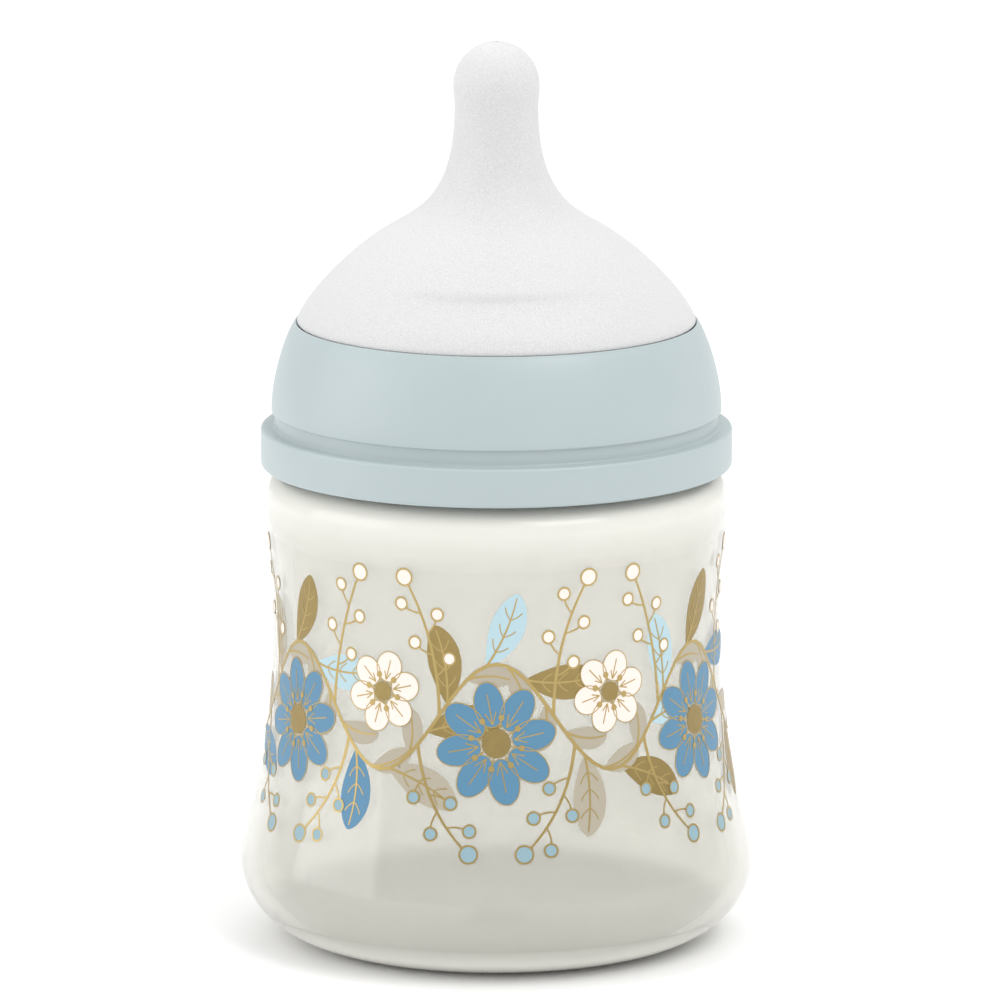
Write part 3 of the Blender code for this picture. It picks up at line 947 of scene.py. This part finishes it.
shell_radius = RING_BORE + RING_WALL
groove_radius = shell_radius - GROOVE_DEPTH
shell_foot = RING_BOTTOM + FLANGE_HEIGHT + GROOVE_HEIGHT
flange_up = RING_BOTTOM + FLANGE_HEIGHT
rim_round = RIM_WALL / 2
rim = (RIM_INNER_RADIUS + RIM_WALL, RING_TOP - rim_round)
shell_rise = RING_TOP - shell_foot
lip_top = RING_TOP - SEAT_HEIGHT
lip_underside = lip_top - LIP_THICKNESS
core_outer = FLANGE_RADIUS - CORE_WALL
core_inner = RING_BORE + CORE_WALL

ring_outline = arc((rim[0] - rim_round, rim[1]), (rim_round, rim_round), 180, 0, 8)
ring_outline += curve(
    rim,
    (0.35 * (shell_radius - rim[0]), -0.124 * shell_rise),
    (0, 0.38 * shell_rise),
    (shell_radius, shell_foot + SHELL_EDGE),
    28,
)
shell_edges = (SHELL_EDGE, SHELL_EDGE)
ring_outline += arc((shell_radius - SHELL_EDGE, shell_foot + SHELL_EDGE), shell_edges, 0, -90, 5)[1:]
ring_outline.append((groove_radius, shell_foot))
fillet_centre = (groove_radius + GROOVE_FILLET, flange_up + GROOVE_FILLET)
ring_outline += arc(fillet_centre, (GROOVE_FILLET, GROOVE_FILLET), 180, 270, 6)
top_edge = (FLANGE_RADIUS - FLANGE_TOP_EDGE, flange_up - FLANGE_TOP_EDGE)
ring_outline += arc(top_edge, (FLANGE_TOP_EDGE, FLANGE_TOP_EDGE), 90, 0, 6)
bottom_edge = (FLANGE_RADIUS - FLANGE_BOTTOM_EDGE, RING_BOTTOM + FLANGE_BOTTOM_EDGE)
ring_outline += arc(bottom_edge, (FLANGE_BOTTOM_EDGE, FLANGE_BOTTOM_EDGE), 0, -90, 6)
ring_outline += [(core_outer, RING_BOTTOM), (core_outer, RING_BOTTOM + CORE_DEPTH)]
ring_outline += [(core_inner, RING_BOTTOM + CORE_DEPTH), (core_inner, RING_BOTTOM)]
ring_outline += [(RING_BORE + RING_MOUTH_CHAMFER, RING_BOTTOM), (RING_BORE, RING_BOTTOM + RING_MOUTH_CHAMFER)]
ring_outline += [(RING_BORE, lip_underside), (LIP_RADIUS, lip_underside), (LIP_RADIUS, lip_top)]
ring = turned("ring", ring_outline)

# The ring's thread bears upwards on the neck's: half of each where they pass, then the clearance
passing = (THREAD_ROOT + THREAD_CREST) / 2 - THREAD_FLANK * SCREW_CLEARANCE
ring_thread_lag_rise = THREAD_LEAD * RING_THREAD_LAG / math.tau
ring_thread_bottom = BODY_HEIGHT + THREAD_BOTTOM - passing - SCREW_CLEARANCE + ring_thread_lag_rise
ring_thread = moulded_thread(
    "ring_thread", RING_BORE, -1, ring_thread_bottom, RING_THREAD_LAG, RING_THREAD_TURNS
)
combine(ring, ring_thread, "UNION")

# Coloured polypropylene from a spark-eroded mould: satin, even in colour, with a fine moulded texture
# that is drawn at 0.3 mm and slight flow marks about 12 mm apart.
satin_pp, tree, shader, place = new_material("satin_moulded_polypropylene")
shader.inputs["IOR"].default_value = 1.49
flow = add_node(tree, "ShaderNodeTexNoise", {"Vector": place, "Scale": 1 / (12 * MM), "Detail": 2.0})
ring_colour = add_node(
    tree,
    "ShaderNodeMix",
    {"Factor": flow.outputs["Fac"], 6: linear("#A8B4B6"), 7: linear("#AEBABC")},
    data_type="RGBA",
)
spark = add_node(tree, "ShaderNodeTexNoise", {"Vector": place, "Scale": 1 / (0.3 * MM), "Detail": 3.0})
satin = add_node(tree, "ShaderNodeMapRange", {"Value": spark.outputs["Fac"], "To Min": 0.34, "To Max": 0.44})
skin = add_node(
    tree, "ShaderNodeBump", {"Height": spark.outputs["Fac"], "Distance": 0.008 * MM, "Strength": 0.4}
)
tree.links.new(ring_colour.outputs[2], shader.inputs["Base Color"])
tree.links.new(satin.outputs[0], shader.inputs["Roughness"])
tree.links.new(skin.outputs[0], shader.inputs["Normal"])
ring.data.materials.clear()
ring.data.materials.append(satin_pp)

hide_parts("screw_ring")
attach(ring, "ring")

# ---------------------------------------------------------------------------------------------------
# Floor, light and camera

stage_bm = bmesh.new()
bmesh.ops.create_grid(stage_bm, x_segments=8, y_segments=8, size=4.0)
stage_mesh = bpy.data.meshes.new("studio_floor")
stage_bm.to_mesh(stage_mesh)
stage_bm.free()
studio_floor = bpy.data.objects.new("studio_floor", stage_mesh)
bpy.context.scene.collection.objects.link(studio_floor)
paper, tree, shader, place = new_material("white_paper_sweep")
shader.inputs["Base Color"].default_value = linear("#F7F7F7")
shader.inputs["Roughness"].default_value = 0.9
shader.inputs["Specular IOR Level"].default_value = 0.1
stage_mesh.materials.append(paper)

world = bpy.data.worlds.new("studio")
world.use_nodes = True
world.node_tree.nodes["Background"].inputs["Color"].default_value = (1, 1, 1, 1)
world.node_tree.nodes["Background"].inputs["Strength"].default_value = 0.82
bpy.context.scene.world = world


def softbox(name, azimuth, elevation, distance, size, power):
    """A square light that faces the object; azimuth 0 is in front of it and 90 on its right."""
    light = bpy.data.lights.new(name, "AREA")
    light.shape = "RECTANGLE"
    light.size, light.size_y = size
    light.energy = power
    made = bpy.data.objects.new(name, light)
    a, e = math.radians(azimuth), math.radians(elevation)
    away = Vector((math.sin(a) * math.cos(e), -math.cos(a) * math.cos(e), math.sin(e)))
    made.location = Vector((0, 0, MOUTH_HEIGHT)) + distance * away
    made.rotation_mode = "QUATERNION"
    made.rotation_quaternion = away.to_track_quat("Z", "Y")
    bpy.context.scene.collection.objects.link(made)
    return made


softbox("left_softbox", -80, 6, 1.3, (1.1, 1.3), 6.5)
softbox("right_softbox", 44, 52, 1.2, (0.7, 0.7), 4.6)
overhead = bpy.data.objects.new("overhead", bpy.data.lights.new("overhead", "SUN"))
overhead.data.energy = 1.15
overhead.data.angle = math.radians(80)
overhead.rotation_euler = (math.radians(-12), 0, 0)
bpy.context.scene.collection.objects.link(overhead)

camera = bpy.data.objects.new("camera", bpy.data.cameras.new("camera"))
camera.data.sensor_width = 36
camera.data.lens = 360
aim = Vector((0.48 * MM, 0, 60.3 * MM))
tilt = math.radians(11.2)
toward = Vector((0, -math.cos(tilt), math.sin(tilt)))
camera.location = aim + 1.362 * toward
camera.rotation_mode = "QUATERNION"
camera.rotation_quaternion = toward.to_track_quat("Z", "Y")
bpy.context.scene.collection.objects.link(camera)
bpy.context.scene.camera = camera
bpy.context.scene.view_settings.view_transform = "Standard"
